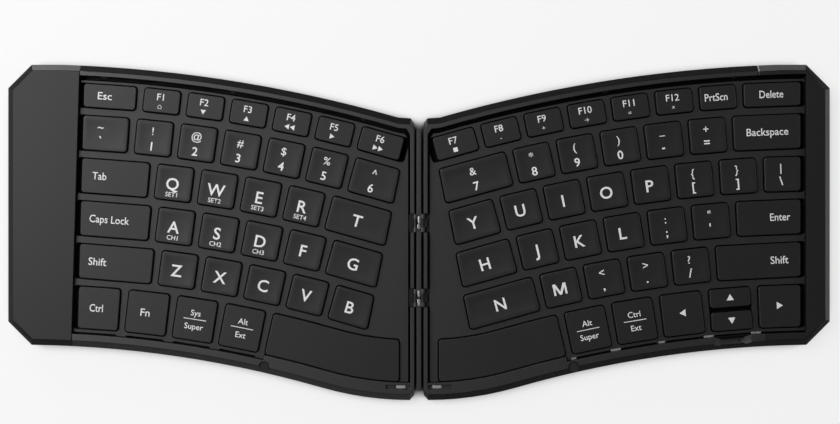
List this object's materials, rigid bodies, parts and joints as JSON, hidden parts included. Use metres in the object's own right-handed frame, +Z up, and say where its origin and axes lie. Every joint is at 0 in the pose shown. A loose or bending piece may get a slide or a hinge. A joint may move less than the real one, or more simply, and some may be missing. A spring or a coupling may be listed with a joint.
{
  "type": "folding keyboard",
  "caption": "Slim two-part folding keyboard with fanned key rows, a double-pivot centre hinge and a battery bar at the left end, opened flat.",
  "frame": {"origin": "on the desk plane, at the middle of the opened keyboard's box", "axes": "+X along the opened keyboard to the user's right, +Y away from the user, +Z up"},
  "size_m": [0.3401, 0.1388, 0.0086],
  "materials": {
    "case_black": "fine matte texture",
    "rim_black": "satin",
    "deck_black": "fine matte",
    "key_black": "soft matte, printed white",
    "spine_black": "black satin",
    "steel": "bright",
    "leaf_steel": "blackened",
    "plate_steel": "stamped, blackened",
    "membrane_film": "black printed film",
    "switch_rubber": "black silicone domes and plastic links",
    "board_green": "solder mask",
    "cell_silver": "foil pouch",
    "magnet_nickel": "nickel plated",
    "foot_rubber": "matte",
    "switch_knob": "matte"
  },
  "bodies": {
    "left_half": {"left_bottom_case": "case_black", "left_rim_rail": "rim_black", "left_end_cover": "case_black", "left_key_frame": "deck_black", "left_support_plate": "plate_steel", "left_membrane": "membrane_film", "left_key_switches": "switch_rubber", "controller_board": "board_green", "battery": "cell_silver", "charging_socket": "steel", "left_hinge_leaves": "leaf_steel", "left_magnets": "magnet_nickel", "left_feet": "foot_rubber", "left_screws": "steel"},
    "spine": {"hinge_spine": "spine_black", "hinge_pins": "steel"},
    "right_half": {"right_bottom_case": "case_black", "right_rim_rail": "rim_black", "right_end_cap": "rim_black", "right_key_frame": "deck_black", "right_support_plate": "plate_steel", "right_membrane": "membrane_film", "right_key_switches": "switch_rubber", "right_hinge_leaves": "leaf_steel", "right_magnets": "magnet_nickel", "right_feet": "foot_rubber", "right_screws": "steel"},
    "power_switch": {"power_switch": "switch_knob"},
    "left_top_keys": {"left_top_keys": "key_black"},
    "right_top_keys": {"right_top_keys": "key_black"},
    "left_modifier_keys": {"left_modifier_keys": "key_black"},
    "right_edge_keys": {"right_edge_keys": "key_black"},
    "left_space_bar": {"left_space_bar": "key_black"},
    "right_space_bar": {"right_space_bar": "key_black"},
    "key_q": {"key_q": "key_black"},
    "key_w": {"key_w": "key_black"},
    "key_e": {"key_e": "key_black"},
    "key_r": {"key_r": "key_black"},
    "key_t": {"key_t": "key_black"},
    "key_a": {"key_a": "key_black"},
    "key_s": {"key_s": "key_black"},
    "key_d": {"key_d": "key_black"},
    "key_f": {"key_f": "key_black"},
    "key_g": {"key_g": "key_black"},
    "key_z": {"key_z": "key_black"},
    "key_x": {"key_x": "key_black"},
    "key_c": {"key_c": "key_black"},
    "key_v": {"key_v": "key_black"},
    "key_b": {"key_b": "key_black"},
    "key_y": {"key_y": "key_black"},
    "key_u": {"key_u": "key_black"},
    "key_i": {"key_i": "key_black"},
    "key_o": {"key_o": "key_black"},
    "key_p": {"key_p": "key_black"},
    "key_h": {"key_h": "key_black"},
    "key_j": {"key_j": "key_black"},
    "key_k": {"key_k": "key_black"},
    "key_l": {"key_l": "key_black"},
    "key_n": {"key_n": "key_black"},
    "key_m": {"key_m": "key_black"}
  },
  "joints": [
    {"name": "left_fold", "type": "hinge", "parent": "left_half", "child": "spine", "pos_m": [-0.0015, 0, 0.00725], "axis": [0, -1, 0], "range_deg": [0, 90]},
    {"name": "right_fold", "type": "hinge", "parent": "spine", "child": "right_half", "pos_m": [0.0015, 0, 0.00725], "axis": [0, -1, 0], "range_deg": [0, 90]},
    {"name": "power_switch_slide", "type": "slide", "parent": "left_half", "child": "power_switch", "axis": [0, -1, 0], "range_m": [0, 0.002]},
    {"name": "left_top_keys_press", "type": "slide", "parent": "left_half", "child": "left_top_keys", "axis": [0, 0, -1], "range_m": [0, 0.0016], "stiffness_N_per_m": 5250, "deforming": ["left_key_switches"]},
    {"name": "right_top_keys_press", "type": "slide", "parent": "right_half", "child": "right_top_keys", "axis": [0, 0, -1], "range_m": [0, 0.0016], "stiffness_N_per_m": 5625, "deforming": ["right_key_switches"]},
    {"name": "left_modifier_keys_press", "type": "slide", "parent": "left_half", "child": "left_modifier_keys", "axis": [0, 0, -1], "range_m": [0, 0.0016], "stiffness_N_per_m": 2625, "deforming": ["left_key_switches"]},
    {"name": "right_edge_keys_press", "type": "slide", "parent": "right_half", "child": "right_edge_keys", "axis": [0, 0, -1], "range_m": [0, 0.0016], "stiffness_N_per_m": 6000, "deforming": ["right_key_switches"]},
    {"name": "left_space_bar_press", "type": "slide", "parent": "left_half", "child": "left_space_bar", "axis": [0, 0, -1], "range_m": [0, 0.0016], "stiffness_N_per_m": 375, "deforming": ["left_key_switches"]},
    {"name": "right_space_bar_press", "type": "slide", "parent": "right_half", "child": "right_space_bar", "axis": [0, 0, -1], "range_m": [0, 0.0016], "stiffness_N_per_m": 375, "deforming": ["right_key_switches"]},
    {"name": "key_q_press", "type": "slide", "parent": "left_half", "child": "key_q", "axis": [0, 0, -1], "range_m": [0, 0.0016], "stiffness_N_per_m": 375, "deforming": ["left_key_switches"]},
    {"name": "key_w_press", "type": "slide", "parent": "left_half", "child": "key_w", "axis": [0, 0, -1], "range_m": [0, 0.0016], "stiffness_N_per_m": 375, "deforming": ["left_key_switches"]},
    {"name": "key_e_press", "type": "slide", "parent": "left_half", "child": "key_e", "axis": [0, 0, -1], "range_m": [0, 0.0016], "stiffness_N_per_m": 375, "deforming": ["left_key_switches"]},
    {"name": "key_r_press", "type": "slide", "parent": "left_half", "child": "key_r", "axis": [0, 0, -1], "range_m": [0, 0.0016], "stiffness_N_per_m": 375, "deforming": ["left_key_switches"]},
    {"name": "key_t_press", "type": "slide", "parent": "left_half", "child": "key_t", "axis": [0, 0, -1], "range_m": [0, 0.0016], "stiffness_N_per_m": 375, "deforming": ["left_key_switches"]},
    {"name": "key_a_press", "type": "slide", "parent": "left_half", "child": "key_a", "axis": [0, 0, -1], "range_m": [0, 0.0016], "stiffness_N_per_m": 375, "deforming": ["left_key_switches"]},
    {"name": "key_s_press", "type": "slide", "parent": "left_half", "child": "key_s", "axis": [0, 0, -1], "range_m": [0, 0.0016], "stiffness_N_per_m": 375, "deforming": ["left_key_switches"]},
    {"name": "key_d_press", "type": "slide", "parent": "left_half", "child": "key_d", "axis": [0, 0, -1], "range_m": [0, 0.0016], "stiffness_N_per_m": 375, "deforming": ["left_key_switches"]},
    {"name": "key_f_press", "type": "slide", "parent": "left_half", "child": "key_f", "axis": [0, 0, -1], "range_m": [0, 0.0016], "stiffness_N_per_m": 375, "deforming": ["left_key_switches"]},
    {"name": "key_g_press", "type": "slide", "parent": "left_half", "child": "key_g", "axis": [0, 0, -1], "range_m": [0, 0.0016], "stiffness_N_per_m": 375, "deforming": ["left_key_switches"]},
    {"name": "key_z_press", "type": "slide", "parent": "left_half", "child": "key_z", "axis": [0, 0, -1], "range_m": [0, 0.0016], "stiffness_N_per_m": 375, "deforming": ["left_key_switches"]},
    {"name": "key_x_press", "type": "slide", "parent": "left_half", "child": "key_x", "axis": [0, 0, -1], "range_m": [0, 0.0016], "stiffness_N_per_m": 375, "deforming": ["left_key_switches"]},
    {"name": "key_c_press", "type": "slide", "parent": "left_half", "child": "key_c", "axis": [0, 0, -1], "range_m": [0, 0.0016], "stiffness_N_per_m": 375, "deforming": ["left_key_switches"]},
    {"name": "key_v_press", "type": "slide", "parent": "left_half", "child": "key_v", "axis": [0, 0, -1], "range_m": [0, 0.0016], "stiffness_N_per_m": 375, "deforming": ["left_key_switches"]},
    {"name": "key_b_press", "type": "slide", "parent": "left_half", "child": "key_b", "axis": [0, 0, -1], "range_m": [0, 0.0016], "stiffness_N_per_m": 375, "deforming": ["left_key_switches"]},
    {"name": "key_y_press", "type": "slide", "parent": "right_half", "child": "key_y", "axis": [0, 0, -1], "range_m": [0, 0.0016], "stiffness_N_per_m": 375, "deforming": ["right_key_switches"]},
    {"name": "key_u_press", "type": "slide", "parent": "right_half", "child": "key_u", "axis": [0, 0, -1], "range_m": [0, 0.0016], "stiffness_N_per_m": 375, "deforming": ["right_key_switches"]},
    {"name": "key_i_press", "type": "slide", "parent": "right_half", "child": "key_i", "axis": [0, 0, -1], "range_m": [0, 0.0016], "stiffness_N_per_m": 375, "deforming": ["right_key_switches"]},
    {"name": "key_o_press", "type": "slide", "parent": "right_half", "child": "key_o", "axis": [0, 0, -1], "range_m": [0, 0.0016], "stiffness_N_per_m": 375, "deforming": ["right_key_switches"]},
    {"name": "key_p_press", "type": "slide", "parent": "right_half", "child": "key_p", "axis": [0, 0, -1], "range_m": [0, 0.0016], "stiffness_N_per_m": 375, "deforming": ["right_key_switches"]},
    {"name": "key_h_press", "type": "slide", "parent": "right_half", "child": "key_h", "axis": [0, 0, -1], "range_m": [0, 0.0016], "stiffness_N_per_m": 375, "deforming": ["right_key_switches"]},
    {"name": "key_j_press", "type": "slide", "parent": "right_half", "child": "key_j", "axis": [0, 0, -1], "range_m": [0, 0.0016], "stiffness_N_per_m": 375, "deforming": ["right_key_switches"]},
    {"name": "key_k_press", "type": "slide", "parent": "right_half", "child": "key_k", "axis": [0, 0, -1], "range_m": [0, 0.0016], "stiffness_N_per_m": 375, "deforming": ["right_key_switches"]},
    {"name": "key_l_press", "type": "slide", "parent": "right_half", "child": "key_l", "axis": [0, 0, -1], "range_m": [0, 0.0016], "stiffness_N_per_m": 375, "deforming": ["right_key_switches"]},
    {"name": "key_n_press", "type": "slide", "parent": "right_half", "child": "key_n", "axis": [0, 0, -1], "range_m": [0, 0.0016], "stiffness_N_per_m": 375, "deforming": ["right_key_switches"]},
    {"name": "key_m_press", "type": "slide", "parent": "right_half", "child": "key_m", "axis": [0, 0, -1], "range_m": [0, 0.0016], "stiffness_N_per_m": 375, "deforming": ["right_key_switches"]}
  ]
}
